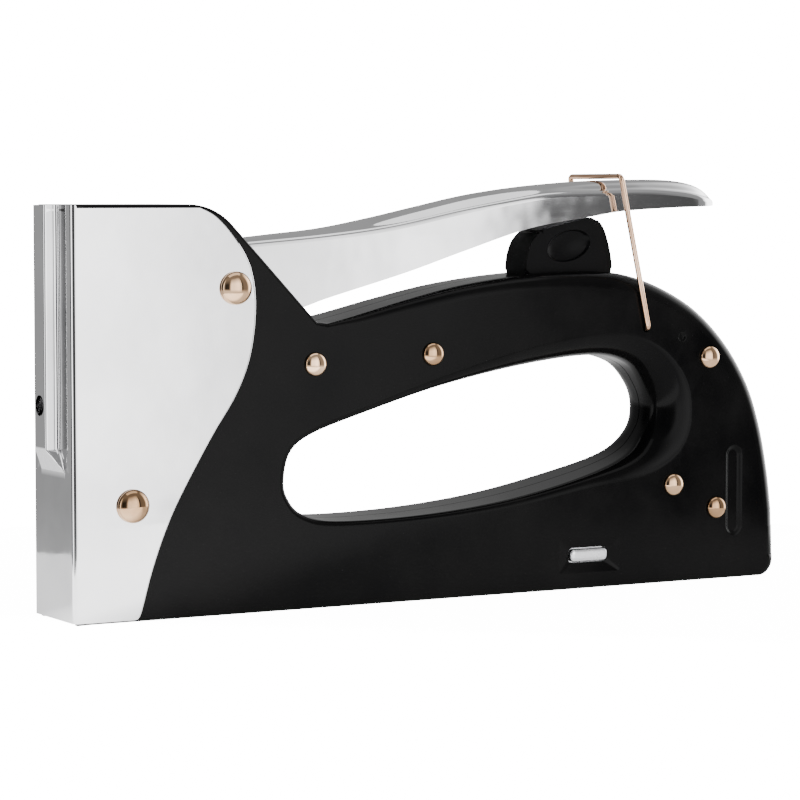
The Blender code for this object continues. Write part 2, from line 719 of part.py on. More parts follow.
def make_hammer():
    """The U-shaped hammer: a front wall, two sides with lifting ears, and a seat for the spring."""
    front = box((2.75, 4.7), (-8.6, 8.6), (HAMMER_BOTTOM, HAMMER_TOP))
    side_outline = [(4.0, HAMMER_BOTTOM), (19.6, HAMMER_BOTTOM), (19.6, 38.0), (12.0, 44.0), (10.0, 67.0),
                    (19.2, 68.6), (19.2, 72.6), (17.0, HAMMER_TOP), (4.0, HAMMER_TOP)]
    sides = [prism(side_outline, walls) for walls in ((-8.6, -7.2), (7.2, 8.6))]
    seat = box((4.2, 19.6), (-7.6, 7.6), (HAMMER_BOTTOM, 37.6))
    rivet_hole = rod((0, 0, RIB_HOLE_Z), 1.9, 0, 8, "x", 12)
    return cut(joined(front, seat, *sides), rivet_hole)


def make_blade():
    plate = box((1.25, 2.45), (-5.8, 5.8), (0.9, 62.0))
    rivet_hole = rod((0, 0, RIB_HOLE_Z), 1.9, 0, 8, "x", 12)
    return cut(plate, rivet_hole)


def make_blade_rivet():
    """Holds the blade to the hammer. Its front head sits inside the cover's rib."""
    profile = [(-0.9, 0), (-0.9, 1.6), (-0.2, 2.4), (1.0, 2.4), (1.0, 1.6), (5.0, 1.6), (5.0, 2.2), (5.8, 1.8),
               (5.8, 0)]
    return turned(profile, (0, 0, RIB_HOLE_Z), "x", 12)


def coil_route(centre, radius, start, end, turns, steps, axis):
    """A coil spring's route, whose end turns are closed up."""
    route = []
    count = turns * steps
    for i in range(count + 1):
        share = i / count
        eased = share * share * (3 - 2 * share)
        along = start + (end - start) * (0.55 * eased + 0.45 * share)
        a = 2 * math.pi * i / steps
        if axis == "z":
            route.append((centre[0] + radius * math.cos(a), centre[1] + radius * math.sin(a), along))
        else:
            route.append((along, centre[1] + radius * math.cos(a), centre[2] + radius * math.sin(a)))
    return route


def make_main_spring():
    low = 37.6 + SPRING_WIRE + 0.3
    high = SPRING_TOP - SPRING_WIRE - 0.3
    return tube(coil_route((SPRING_X, 0, 0), SPRING_RADIUS, low, high, 9, 10, "z"), SPRING_WIRE, 6)


def make_spring_seat():
    plate = box((3.2, 22.0), (-9.4, 9.4), (SPRING_TOP, 94.0), bevel=0.3)
    boss = turned([(86.0, 0), (86.0, 3.2), (87.0, 3.7), (92.5, 3.7), (92.5, 0)], (SPRING_X, 0, 0), "z", 12)
    return joined(plate, boss)


def make_shock_pad():
    return box((4.8, 20.6), (-8.4, 8.4), (31.7, HAMMER_BOTTOM - GAP), bevel=0.4)


def make_driver_guide():
    """The plate behind the blade, bent back at its top into the shelf under the pad."""
    outline = [(3.0, 13.2), (4.2, 13.2), (4.2, 30.3), (21.0, 30.3), (21.0, 31.5), (3.0, 31.5)]
    return prism(outline, (-9.4, 9.4))


# ---------------------------------------------------------------- magazine

def channel_section(half_width, low, high, sheet):
    """Outline of a U channel, open above, as (Y, Z)."""
    w, t = half_width, sheet
    return [(-w, high), (-w, low), (w, low), (w, high), (w - t, high), (w - t, low + t), (t - w, low + t),
            (t - w, high)]


def make_magazine_channel():
    return extrude_along_x(channel_section(7.7, 0.0, 12.6, 1.0), (RAIL_FRONT, MAGAZINE_REAR))


def make_staple_rail():
    return extrude_along_x(channel_section(4.4, 1.4, 9.6, 0.9), (RAIL_FRONT, MAGAZINE_REAR - 1))


def make_staple_strip():
    """A stick of staples astride the rail, glued together as one piece."""
    section = [(-5.65, 1.6), (-4.75, 1.6), (-4.75, 9.95), (4.75, 9.95), (4.75, 1.6), (5.65, 1.6), (5.65, 10.85),
               (-5.65, 10.85)]
    return extrude_along_x(section, (2.75, STRIP_REAR))


def make_pusher():
    """The follower behind the staples: a saddle over the rail, with a lug on the rod."""
    section = [(-5.7, 2.6), (-4.75, 2.6), (-4.75, 9.95), (4.75, 9.95), (4.75, 2.6), (5.7, 2.6), (5.7, 11.0),
               (-5.7, 11.0)]
    saddle = extrude_along_x(section, (STRIP_REAR + 0.3, STRIP_REAR + 16))
    lug = box((STRIP_REAR + 0.6, STRIP_REAR + 12), (-3.0, 3.0), (2.8, 10.4))
    rod_hole = rod((0, 0, ROD_Z), 1.2, 40, 90, "x", 10)
    return cut(joined(saddle, lug), rod_hole)


def make_pusher_rod():
    return rod((0, 0, ROD_Z), 0.95, RAIL_FRONT + 1, MAGAZINE_REAR + 1.6, "x", 10)


def make_pusher_spring():
    route = coil_route((0, 0, ROD_Z), 2.0, STRIP_REAR + 13, MAGAZINE_REAR - 2, 17, 7, "x")
    return tube(route, 0.4, 4)


def make_magazine_end():
    """The rear plug that the magazine is pulled out by, with a finger lip."""
    outline = [(196.3, 1.4), (200.6, 1.4), (201.5, 3.6), (201.5, 12.4), (196.3, 12.4)]
    plug = prism(outline, (-6.2, 6.2), bevel=0.5)
    finger_groove = box((199.9, 203.0), (-4.6, 4.6), (5.6, 8.6))
    rod_socket = rod((0, 0, ROD_Z), 1.2, 195, 197.5, "x", 10)
    return cut(plug, finger_groove, rod_socket)


def make_catch(side):
    """One magazine catch: a button on a flat spring arm that bends about its foot on the channel."""
    x0, x1 = CATCH_X
    z0, z1 = CATCH_Z
    arm = box((134.5, 170.0), sorted((side * 9.0, side * 9.4)), (z0 - 0.6, z1 + 0.6))
    foot = box((166.0, 170.0), sorted((side * 7.95, side * 9.2)), (z0 - 0.6, z1 + 0.6))
    button = box((x0, x1), sorted((side * 9.2, side * 11.5)), (z0, z1), bevel=0.45)
    return joined(arm, foot, button)


# ---------------------------------------------------------------- assembly

def build():
    clear_scene()
    looks = make_materials()
    squeeze = joint_empty("lever_squeeze_axis", LEVER_PIVOT[0], 0, LEVER_PIVOT[1])
    lift = joint_empty("lever_lift_axis", LEVER_PIVOT[0], 0, LEVER_PIVOT[1], squeeze)
    bail = joint_empty("bail_swing_axis", BAIL_PIVOT[0], 0, BAIL_PIVOT[1])
    hammer = joint_empty("hammer_slide_axis", SPRING_X, 0, HAMMER_BOTTOM)
    magazine = joint_empty("magazine_slide_axis", RAIL_FRONT, 0, ROD_Z)
    pusher = joint_empty("pusher_slide_axis", STRIP_REAR, 0, ROD_Z, magazine)

    add_piece("shell_left", make_shell(-1), looks["black_paint"])
    add_piece("shell_right", make_shell(1), looks["black_paint"])
    add_piece("nose_cover", make_nose_cover(), looks["chrome"])
    cover_face = COVER_HALF_WIDTH + 0.1
    add_piece("pivot_rivet", make_rivet(LEVER_PIVOT, 3.0, 4.0, 2.7, cover_face, 20), looks["nickel"])
    add_piece("nose_rivet", make_rivet(LOWER_RIVET, 2.5, 4.0, 2.7, cover_face, 20), looks["nickel"])
    for number, centre in enumerate(SHELL_RIVETS, 1):
        rivet = make_rivet(centre, 1.5, 2.9, 1.8, BODY_HALF_WIDTH + 0.1, 16)
        add_piece(f"shell_rivet_{number}", rivet, looks["nickel"])

    add_piece("lever", make_lever(), looks["chrome"], lift)
    add_piece("lever_bush", make_lever_bush(), looks["steel"], squeeze)
    add_piece("lever_return_spring", make_lever_spring(), looks["spring_steel"], squeeze)
    add_piece("wire_bail", make_wire_bail(), looks["bronze_wire"], bail)
    add_piece("lever_bumper", make_bumper(), looks["black_plastic"])

    add_piece("hammer", make_hammer(), looks["dark_steel"], hammer)
    add_piece("driver_blade", make_blade(), looks["steel"], hammer)
    add_piece("blade_rivet", make_blade_rivet(), looks["dark_steel"], hammer)
    add_piece("main_spring", make_main_spring(), looks["spring_steel"])
    add_piece("spring_seat", make_spring_seat(), looks["dark_steel"])
    add_piece("shock_pad", make_shock_pad(), looks["rubber"])
    add_piece("driver_guide", make_driver_guide(), looks["steel"])

    add_piece("magazine_channel", make_magazine_channel(), looks["steel"])
    add_piece("staple_rail", make_staple_rail(), looks["steel"], magazine)
    add_piece("staple_strip", make_staple_strip(), looks["staples"], magazine)
    add_piece("pusher_rod", make_pusher_rod(), looks["steel"], magazine)
    add_piece("pusher_spring", make_pusher_spring(), looks["spring_steel"], magazine)
    add_piece("magazine_end", make_magazine_end(), looks["steel"], magazine)
    add_piece("pusher", make_pusher(), looks["steel"], pusher)
    for name, side in (("left", -1), ("right", 1)):
        press = joint_empty(f"catch_{name}_axis", CATCH_PIVOT[0], side * CATCH_PIVOT[1], CATCH_Z[0])
        add_piece(f"catch_{name}", make_catch(side), looks["chrome"], press)


build()
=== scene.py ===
"""Looks of a hand staple gun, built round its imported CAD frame.

Lengths in the shape functions are millimetres in the tool's own frame: X runs rearward from the nose's
front face, Y from the middle plane (left is -Y) and Z up from the flat base. place() turns them into the
frame's metres.
"""

import json
import math

import bmesh
import bpy
from mathutils import Matrix, Vector


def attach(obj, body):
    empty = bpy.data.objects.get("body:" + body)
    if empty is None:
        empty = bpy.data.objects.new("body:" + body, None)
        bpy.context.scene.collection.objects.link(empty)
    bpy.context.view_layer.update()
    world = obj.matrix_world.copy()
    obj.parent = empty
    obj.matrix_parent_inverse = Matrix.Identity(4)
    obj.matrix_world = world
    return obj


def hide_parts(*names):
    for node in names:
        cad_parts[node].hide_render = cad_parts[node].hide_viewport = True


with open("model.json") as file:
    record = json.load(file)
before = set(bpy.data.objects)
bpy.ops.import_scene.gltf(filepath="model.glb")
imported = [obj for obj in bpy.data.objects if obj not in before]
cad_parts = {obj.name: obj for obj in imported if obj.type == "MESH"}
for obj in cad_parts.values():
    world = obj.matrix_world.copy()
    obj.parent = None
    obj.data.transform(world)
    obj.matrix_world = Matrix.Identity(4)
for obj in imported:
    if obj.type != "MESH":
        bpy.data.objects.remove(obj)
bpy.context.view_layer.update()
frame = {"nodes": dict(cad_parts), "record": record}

MM = 0.001
NOSE_RIB_HEIGHT = 3.3
BODY_LENGTH = 201.9
HEAD_HEIGHT = 98.0
BODY_HALF_WIDTH = 11.0
CENTRE_X = (BODY_LENGTH - NOSE_RIB_HEIGHT) / 2
SHELL_SHEET = 1.2
COVER_SHEET = 0.8
LEVER_SHEET = 1.3
BAIL_WIRE_RADIUS = 0.7
GAP = 0.15
COVER_HALF_WIDTH = 11.9
COVER_BEND = 1.3
COVER_TOP = 97.1
COVER_FRONT_RISE = 0.75
COVER_BOTTOM = 0.6
RIB_HALF_WIDTH = 3.3
RIB_RAMP_TOP = 40.8
RIB_RAMP_BOTTOM = 35.5
RIB_HOLE_Z = 51.0
RIB_HOLE_RADIUS = 2.45
LEVER_PIVOT = (42.0, 78.1)
BAIL_PIVOT = (159.8, 66.0)
LEVER_HALF_WIDTH = 9.0
LEVER_FRONT = 45.2
LEVER_TIP_CENTRE = 177.0
LEVER_ARM_LENGTH = 22.4
LEVER_ARM_ANGLE = 8.0
BAIL_CROSSBAR = (151.2, 104.85)
BAIL_HALF_WIDTH = 12.0
LOWER_RIVET = (15.0, 27.5)
SHELL_RIVETS = ((63.8, 59.4), (96.6, 61.0), (179.5, 58.1), (168.4, 25.4), (181.9, 18.8))
CATCH_X = (137.0, 148.0)
CATCH_Z = (7.0, 10.2)
REAR_OPENING_TOP = 13.3
MAGAZINE_LIP = 7.9
OPEN_LIP = 9.25

# Camera: where it stands in the tool's own frame, and how it is turned
CAMERA_PLACE = (-282.65, -666.57, 100.57)
CAMERA_AZIMUTH = -29.435
CAMERA_ELEVATION = 3.846
CAMERA_LENS = 138.45

# Light: strengths, and the room's grey level round the tool as (bearing in degrees, level)
ROOM_STRENGTH = 8.0
BACKDROP_STRENGTH = 22.0
FLOOR_RADIUS = 0.2
FLOOR_CAMERA_GLOW = 14.0
CEILING = (0.3, 0.75, 0.055)
GROUND = (-0.1, -0.28, 0.2)
ROOM_LEVELS = [
    (-180, 0.6), (-173, 0.05), (-150, 0.005), (-124, 0.01), (-117, 0.06), (-108, 0.4), (-92, 0.42),
    (-80, 0.5), (-70, 0.56), (-65.5, 0.5), (-63.5, 0.36), (-62.3, 0.3), (-61, 0.45), (-59.7, 0.6),
    (-58.9, 0.4), (-58.3, 0.02), (-54, 0.012), (-48, 0.05), (-24, 0.06), (-8, 0.8), (32, 0.9),
    (48, 0.05), (100, 0.05), (122, 0.055), (134, 0.005), (158, 0.005), (167, 0.5), (180, 0.6),
]

# How much the black paint and plastic reflect, as Specular IOR Level
BLACK_SPECULAR = 0.06


# ---------------------------------------------------------------- materials

def new_material(name, colour, metallic, roughness, **sockets):
    material = bpy.data.materials.new(name)
    material.use_nodes = True
    shader = material.node_tree.nodes["Principled BSDF"]
    shader.inputs["Base Color"].default_value = (*colour, 1.0)
    shader.inputs["Metallic"].default_value = metallic
    shader.inputs["Roughness"].default_value = roughness
    for socket, value in sockets.items():
        shader.inputs[socket.replace("_", " ")].default_value = value
    return material, shader


def add_node(material, kind, settings=None, **values):
    node = material.node_tree.nodes.new(kind)
    for key, value in (settings or {}).items():
        setattr(node, key, value)
    for key, value in values.items():
        node.inputs[key.replace("_", " ")].default_value = value
    return node


def link(material, source, output, target, socket):
    material.node_tree.links.new(source.outputs[output], target.inputs[socket])


def noise(material, scale, detail=3.0, stretch=(1, 1, 1), roughness=0.55):
    """Noise in object space. Scale is in cycles per metre; stretch makes the grain longer along an axis."""
    place = add_node(material, "ShaderNodeTexCoord")
    mapping = add_node(material, "ShaderNodeMapping", Scale=tuple(1 / s for s in stretch))
    texture = add_node(material, "ShaderNodeTexNoise", Scale=scale, Detail=detail, Roughness=roughness)
    link(material, place, "Object", mapping, "Vector")
    link(material, mapping, "Vector", texture, "Vector")
    return texture


def remap(material, source, output, low, high, to_low, to_high):
    node = add_node(material, "ShaderNodeMapRange")
    for socket, value in (("From Min", low), ("From Max", high), ("To Min", to_low), ("To Max", to_high)):
        node.inputs[socket].default_value = value
    link(material, source, output, node, "Value")
    return node


def add_bump(material, shader, layers):
    """Stacks bumps on the shader's normal. Each layer is (node, output, strength, distance in metres)."""
    before = None
    for node, output, strength, distance in layers:
        bump = add_node(material, "ShaderNodeBump", Strength=strength, Distance=distance)
        link(material, node, output, bump, "Height")
        if before:
            link(material, before, "Normal", bump, "Normal")
        before = bump
    link(material, before, "Normal", shader, "Normal")


def two_tone(material, shader, source, low, high, dark, light):
    """Base colour that runs from dark to light as the texture runs from low to high."""
    share = remap(material, source, "Fac", low, high, 0.0, 1.0)
    mix = add_node(material, "ShaderNodeMix", {"data_type": "RGBA"})
    mix.inputs[6].default_value = (*dark, 1.0)
    mix.inputs[7].default_value = (*light, 1.0)
    link(material, share, "Result", mix, "Factor")
    link(material, mix, 2, shader, "Base Color")


def polished_metal(name, dark, light, smooth, rough, grain=(1, 1, 1), ripple=0.0):
    """Plated or polished metal: cloudy tint, uneven gloss, fine polishing marks, slow ripple of the sheet."""
    material, shader = new_material(name, light, 1.0, smooth)
    clouds = noise(material, 45, 4)
    two_tone(material, shader, clouds, 0.35, 0.65, dark, light)
    smears = noise(material, 140, 6, grain)
    gloss = remap(material, smears, "Fac", 0.35, 0.75, smooth, rough)
    link(material, gloss, "Result", shader, "Roughness")
    marks = noise(material, 2600, 3, grain)
    waves = noise(material, 60, 2)
    add_bump(material, shader, [(marks, "Fac", 0.05, 0.00003), (waves, "Fac", 1.0, ripple or 0.00001)])
    return material


def gloss_paint(name):
    """Black stove enamel: deep gloss, faint orange peel, a few dust specks and hazy handling marks."""
    material, shader = new_material(name, (0.003, 0.003, 0.0032), 0.0, 0.2)
    shader.inputs["Specular IOR Level"].default_value = BLACK_SPECULAR
    haze = noise(material, 38, 5)
    gloss = remap(material, haze, "Fac", 0.4, 0.75, 0.11, 0.24)
    link(material, gloss, "Result", shader, "Roughness")
    two_tone(material, shader, haze, 0.35, 0.7, (0.0022, 0.0022, 0.0024), (0.0052, 0.0050, 0.0050))
    peel = noise(material, 420, 2)
    specks = add_node(material, "ShaderNodeTexVoronoi", Scale=900.0)
    dust = remap(material, specks, "Distance", 0.0, 0.055, 1.0, 0.0)
    add_bump(material, shader, [(peel, "Fac", 0.08, 0.00006), (dust, "Result", 0.12, 0.00002)])
    return material


def moulded(name, colour, roughness, grain):
    """Moulded plastic or rubber with a fine grained skin."""
    material, shader = new_material(name, colour, 0.0, roughness)
    clouds = noise(material, 90, 4)
    gloss = remap(material, clouds, "Fac", 0.3, 0.7, roughness - 0.08, roughness + 0.1)
    link(material, gloss, "Result", shader, "Roughness")
    dark = tuple(c * 0.8 for c in colour)
    light = tuple(c * 1.3 for c in colour)
    two_tone(material, shader, clouds, 0.3, 0.7, dark, light)
    shader.inputs["Specular IOR Level"].default_value = BLACK_SPECULAR
    skin = noise(material, grain, 2)
    add_bump(material, shader, [(skin, "Fac", 0.25, 0.00004)])
    return material


LOOKS = {
    "chrome": polished_metal("cover_chrome", (0.70, 0.70, 0.71), (0.80, 0.80, 0.81), 0.03, 0.09, (1, 1, 6),
                             0.00005),
    "lever": polished_metal("lever_chrome", (0.68, 0.68, 0.69), (0.80, 0.80, 0.81), 0.03, 0.08, (8, 1, 1),
                            0.00006),
    "catch": polished_metal("catch_nickel", (0.72, 0.72, 0.74), (0.84, 0.84, 0.86), 0.22, 0.34, (1, 1, 1),
                            0.00002),
    "nickel": polished_metal("nickel", (0.40, 0.24, 0.13), (0.84, 0.57, 0.36), 0.04, 0.1, (1, 1, 1),
                             0.00003),
    "bronze_wire": polished_metal("bronze_wire", (0.46, 0.26, 0.15), (0.82, 0.55, 0.38), 0.10, 0.22,
                                  (1, 1, 4)),
    "steel": polished_metal("rolled_steel", (0.36, 0.36, 0.36), (0.52, 0.52, 0.51), 0.24, 0.42, (10, 1, 1)),
    "dark_steel": polished_metal("dark_steel", (0.08, 0.08, 0.085), (0.17, 0.165, 0.16), 0.32, 0.5),
    "spring_steel": polished_metal("spring_steel", (0.30, 0.30, 0.32), (0.46, 0.46, 0.47), 0.22, 0.38),
    "staples": polished_metal("staple_wire", (0.50, 0.49, 0.46), (0.68, 0.66, 0.62), 0.22, 0.40, (1, 8, 1)),
    "black_paint": gloss_paint("black_enamel"),
    "black_plastic": moulded("black_plastic", (0.0022, 0.0022, 0.0024), 0.4, 1500),
    "rubber": moulded("rubber_pad", (0.03, 0.03, 0.03), 0.7, 900),
}


# ---------------------------------------------------------------- pieces

def add_piece(name, mesh, look, body, replaces=(), bevel=0.0, sharp=35, bevel_segments=2):
    """Puts a mesh in millimetres into the frame as a piece that rides on a body."""
    mesh.transform(Matrix.Scale(MM, 4) @ Matrix.Translation((-CENTRE_X, 0, 0)))
    mesh.materials.clear()
    mesh.materials.append(LOOKS[look])
    mesh.shade_smooth()
    mesh.set_sharp_from_angle(angle=math.radians(sharp))
    obj = bpy.data.objects.new(name, mesh)
    bpy.context.scene.collection.objects.link(obj)
    if bevel:
        rounding = obj.modifiers.new("edges", "BEVEL")
        rounding.width = bevel * MM
        rounding.segments = bevel_segments
        rounding.limit_method = "ANGLE"
        rounding.angle_limit = math.radians(sharp)
        rounding.harden_normals = False
    weighted = obj.modifiers.new("normals", "WEIGHTED_NORMAL")
    weighted.keep_sharp = not bevel
    weighted.weight = 60
    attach(obj, body)
    if replaces:
        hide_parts(*replaces)
    return obj


def curve_through(points, steps, closed=False):
    """Catmull-Rom curve through the points, each of which may hold any number of values."""
    count = len(points)
    result = []
    for i in range(count if closed else count - 1):
        before = points[(i - 1) % count] if closed or i > 0 else points[0]
        after = points[(i + 2) % count] if closed or i + 2 < count else points[-1]
        start, end = points[i], points[(i + 1) % count]
        for k in range(steps):
            t = k / steps
            result.append(tuple(
                0.5 * (2 * b + (c - a) * t + (2 * a - 5 * b + 4 * c - d) * t * t
                       + (3 * b - a - 3 * c + d) * t ** 3)
                for a, b, c, d in zip(before, start, end, after)))
    if not closed:
        result.append(tuple(points[-1]))
    return result


def value_at(table, x):
    if x <= table[0][0]:
        return table[0][1]
    for (x0, v0), (x1, v1) in zip(table, table[1:]):
        if x <= x1:
            return v0 + (v1 - v0) * (x - x0) / (x1 - x0)
    return table[-1][1]


def arc(cx, cz, radius, start_deg, end_deg, count):
    angles = [math.radians(start_deg + (end_deg - start_deg) * i / count) for i in range(count + 1)]
    return [(cx + radius * math.cos(a), cz + radius * math.sin(a)) for a in angles]


def circle(centre, radius, count):
    return arc(centre[0], centre[1], radius, 0, 360, count)[:-1]


def offset_directions(points, closed=True):
    """For each point, the way its corner moves when the line is offset by 1 to its left."""
    count = len(points)
    result = []
    for i in range(count):
        normals = []
        for a, b in ((i - 1, i), (i, i + 1)):
            if not closed and (a < 0 or b >= count):
                continue
            (x0, z0), (x1, z1) = points[a % count], points[b % count]
            length = math.hypot(x1 - x0, z1 - z0)
            normals.append((-(z1 - z0) / length, (x1 - x0) / length))
        nx, nz = normals[0]
        mx, mz = normals[-1]
        share = 1 + nx * mx + nz * mz
        result.append(((nx + mx) / share, (nz + mz) / share))
    return result


def offset_line(points, distance, closed=False):
    return [(x + dx * distance, z + dz * distance)
            for (x, z), (dx, dz) in zip(points, offset_directions(points, closed))]


def finish_mesh(bm):
    bmesh.ops.recalc_face_normals(bm, faces=bm.faces)
    mesh = bpy.data.meshes.new("piece")
    bm.to_mesh(mesh)
    bm.free()
    return mesh


def bridge(bm, ring_a, ring_b, closed=True):
    count = len(ring_a)
    for i in range(count if closed else count - 1):
        j = (i + 1) % count
        bm.faces.new((ring_a[i], ring_a[j], ring_b[j], ring_b[i]))


def ring_edges(bm, ring):
    count = len(ring)
    return [bm.edges.get((ring[i], ring[(i + 1) % count])) or
            bm.edges.new((ring[i], ring[(i + 1) % count])) for i in range(count)]


def fill_between(bm, rings):
    edges = [edge for ring in rings for edge in ring_edges(bm, ring)]
    bmesh.ops.triangle_fill(bm, edges=edges, use_beauty=True)


def box(x, y, z, bevel=0.0, segments=3):
    bm = bmesh.new()
    size = [b - a for a, b in (x, y, z)]
    middle = [(a + b) / 2 for a, b in (x, y, z)]
    bmesh.ops.create_cube(bm, size=1, matrix=Matrix.Translation(middle) @ Matrix.Diagonal((*size, 1)))
    if bevel:
        bmesh.ops.bevel(bm, geom=bm.edges[:], offset=bevel, segments=segments, profile=0.5, affect="EDGES")
    return finish_mesh(bm)


def prism(outline, y, bevel=0.0, segments=1):
    bm = bmesh.new()
    near = [bm.verts.new((x, y[0], z)) for x, z in outline]
    far = [bm.verts.new((x, y[1], z)) for x, z in outline]
    bm.faces.new(near)
    bm.faces.new(far)
    bridge(bm, near, far)
    if bevel:
        rims = ring_edges(bm, near) + ring_edges(bm, far)
        bmesh.ops.bevel(bm, geom=rims, offset=bevel, segments=segments, profile=0.5, affect="EDGES")
    return finish_mesh(bm)


def turned(profile, centre, axis, sides):
    """Mesh turned from a (distance along axis, radius) profile. A radius of 0 closes an end."""
    bm = bmesh.new()
    spin = {
        "x": (Vector((1, 0, 0)), Vector((0, 1, 0)), Vector((0, 0, 1))),
        "y": (Vector((0, 1, 0)), Vector((0, 0, 1)), Vector((1, 0, 0))),
        "z": (Vector((0, 0, 1)), Vector((1, 0, 0)), Vector((0, 1, 0))),
    }[axis]
    rings = []
    for along, radius in profile:
        middle = Vector(centre) + spin[0] * along
        if radius == 0:
            rings.append([bm.verts.new(middle)])
            continue
        turns = [2 * math.pi * i / sides for i in range(sides)]
        rings.append([bm.verts.new(middle + spin[1] * radius * math.cos(a) + spin[2] * radius * math.sin(a))
                      for a in turns])
    for first, second in zip(rings, rings[1:]):
        if len(first) == 1 or len(second) == 1:
            tip, ring = (first[0], second) if len(first) == 1 else (second[0], first)
            for i in range(sides):
                bm.faces.new((tip, ring[i], ring[(i + 1) % sides]))
        else:
            bridge(bm, first, second)
    return finish_mesh(bm)


def rod(centre, radius, start, end, axis, sides=48):
    return turned([(start, 0), (start, radius), (end, radius), (end, 0)], centre, axis, sides)


def tube(route, radius, sides):
    """Mesh of a round wire along a route of (X, Y, Z) points, with rounded-off ends."""
    bm = bmesh.new()
    points = [Vector(p) for p in route]
    tangents = []
    for i in range(len(points)):
        ahead = points[min(i + 1, len(points) - 1)] - points[i]
        behind = points[i] - points[max(i - 1, 0)]
        tangents.append((ahead.normalized() + behind.normalized()).normalized())
    side = tangents[0].orthogonal().normalized()
    rings = []
    for point, tangent in zip(points, tangents):
        side = (side - tangent * side.dot(tangent)).normalized()
        other = tangent.cross(side)
        turns = [2 * math.pi * k / sides for k in range(sides)]
        rings.append([bm.verts.new(point + side * radius * math.cos(a) + other * radius * math.sin(a))
                      for a in turns])
    for first, second in zip(rings, rings[1:]):
        bridge(bm, first, second)
    bm.faces.new(rings[0])
    bm.faces.new(rings[-1])
    return finish_mesh(bm)


def combine(first, others, operation):
    """Exact Boolean of meshes, given back as one mesh."""
    collection = bpy.context.scene.collection
    base = bpy.data.objects.new("base", first)
    collection.objects.link(base)
    helpers = []
    for other in others:
        helper = bpy.data.objects.new("helper", other)
        collection.objects.link(helper)
        helpers.append(helper)
        modifier = base.modifiers.new("cut", "BOOLEAN")
        modifier.operation = operation
        modifier.solver = "EXACT"
        modifier.object = helper
    bpy.context.view_layer.update()
    graph = bpy.context.evaluated_depsgraph_get()
    result = bpy.data.meshes.new_from_object(base.evaluated_get(graph))
    for obj in [base] + helpers:
        bpy.data.objects.remove(obj, do_unlink=True)
    return result


def joined(*meshes):
    return combine(meshes[0], meshes[1:], "UNION")


def cut(mesh, *cutters):
    return combine(mesh, cutters, "DIFFERENCE")


# ---------------------------------------------------------------- body shells

def slant_x(z):
    top_x, top_z = 42.07, 93.05
    return top_x + (top_z - z) * 0.957


def body_outline():
    """The shell's outline from its bottom front corner, anticlockwise, as (X, Z, edge radius, lip)."""
    stations = [(1.3, 0.0, 0.3, OPEN_LIP), (4.4, 0.0, 0.9, MAGAZINE_LIP)]
    stations += [(x, 0.0, 0.9, MAGAZINE_LIP) for x in (40.0, 70.0, 100.0, 130.0, 160.0, 180.0, 190.0)]
    corner = arc(196.4, 5.5, 5.5, -90, 0, 16)
    stations += [(x, z, 0.9 + 3.1 * (i / 16) ** 1.2, MAGAZINE_LIP) for i, (x, z) in enumerate(corner)]
    stations += [(201.88, 9.2, 4.15, MAGAZINE_LIP), (201.85, REAR_OPENING_TOP - 0.4, 4.3, MAGAZINE_LIP),
                 (201.8, REAR_OPENING_TOP, 4.4, GAP)]
    back = [(201.7, 17.5), (200.2, 28.5), (197.5, 40.5), (193.4, 51.2), (186.6, 61.4), (177.6, 70.0),
            (167.0, 76.0), (156.0, 79.6), (146.0, 80.7), (132.0, 80.5), (118.4, 79.4), (104.4, 77.4),
            (90.5, 74.4), (77.0, 71.1), (71.0, 69.75)]
    for x, z in curve_through(back, 8):
        radius = value_at(((71, 1.4), (77, 2.2), (100, 3.4), (150, 4.5), (202, 4.5)), x)
        stations.append((x, z, radius, 3.4 if 131.5 < x < 147.5 else GAP))
    stations += [(69.0, 69.3, 1.2, GAP), (67.4, 69.02, 1.0, GAP)]
    stations += [(slant_x(z), z, 0.9, OPEN_LIP) for z in (69.6, 75.0, 81.0, 87.0, 93.05)]
    head = arc(30.5, 82.0, 16.0, 43.7, 90, 14)[1:]
    stations += [(x, z, 0.9, OPEN_LIP if x > 38 else GAP) for x, z in head]
    stations += [(16.0, HEAD_HEIGHT, 0.9, GAP), (3.8, HEAD_HEIGHT, 0.9, GAP),
                 (1.3, HEAD_HEIGHT, 0.3, OPEN_LIP)]
    stations += [(1.3, z, 0.3, OPEN_LIP) for z in (80.0, 65.0, 50.0, 32.0, 15.0)]
    return stations


def grip_outline():
    """The finger hole's outline, anticlockwise, as (X, Z, edge radius, lip)."""
    points = [(55.8, 32.0, 1.6), (56.6, 27.4, 1.5), (60.6, 23.2, 1.5), (70.0, 20.9, 1.4), (94.0, 21.2, 1.4),
              (119.0, 23.7, 1.9), (142.0, 28.4, 2.9), (157.0, 33.2, 6.0), (163.3, 38.9, 9.0),
              (165.1, 44.8, 9.3), (163.2, 51.0, 8.8), (157.6, 56.9, 7.0), (146.0, 59.2, 6.0),
              (125.0, 57.4, 4.6), (100.0, 53.0, 2.5), (77.5, 47.0, 1.6), (63.5, 42.5, 1.5), (57.6, 38.4, 1.5)]
    return [(x, z, radius, GAP) for x, z, radius in curve_through(points, 8, closed=True)]


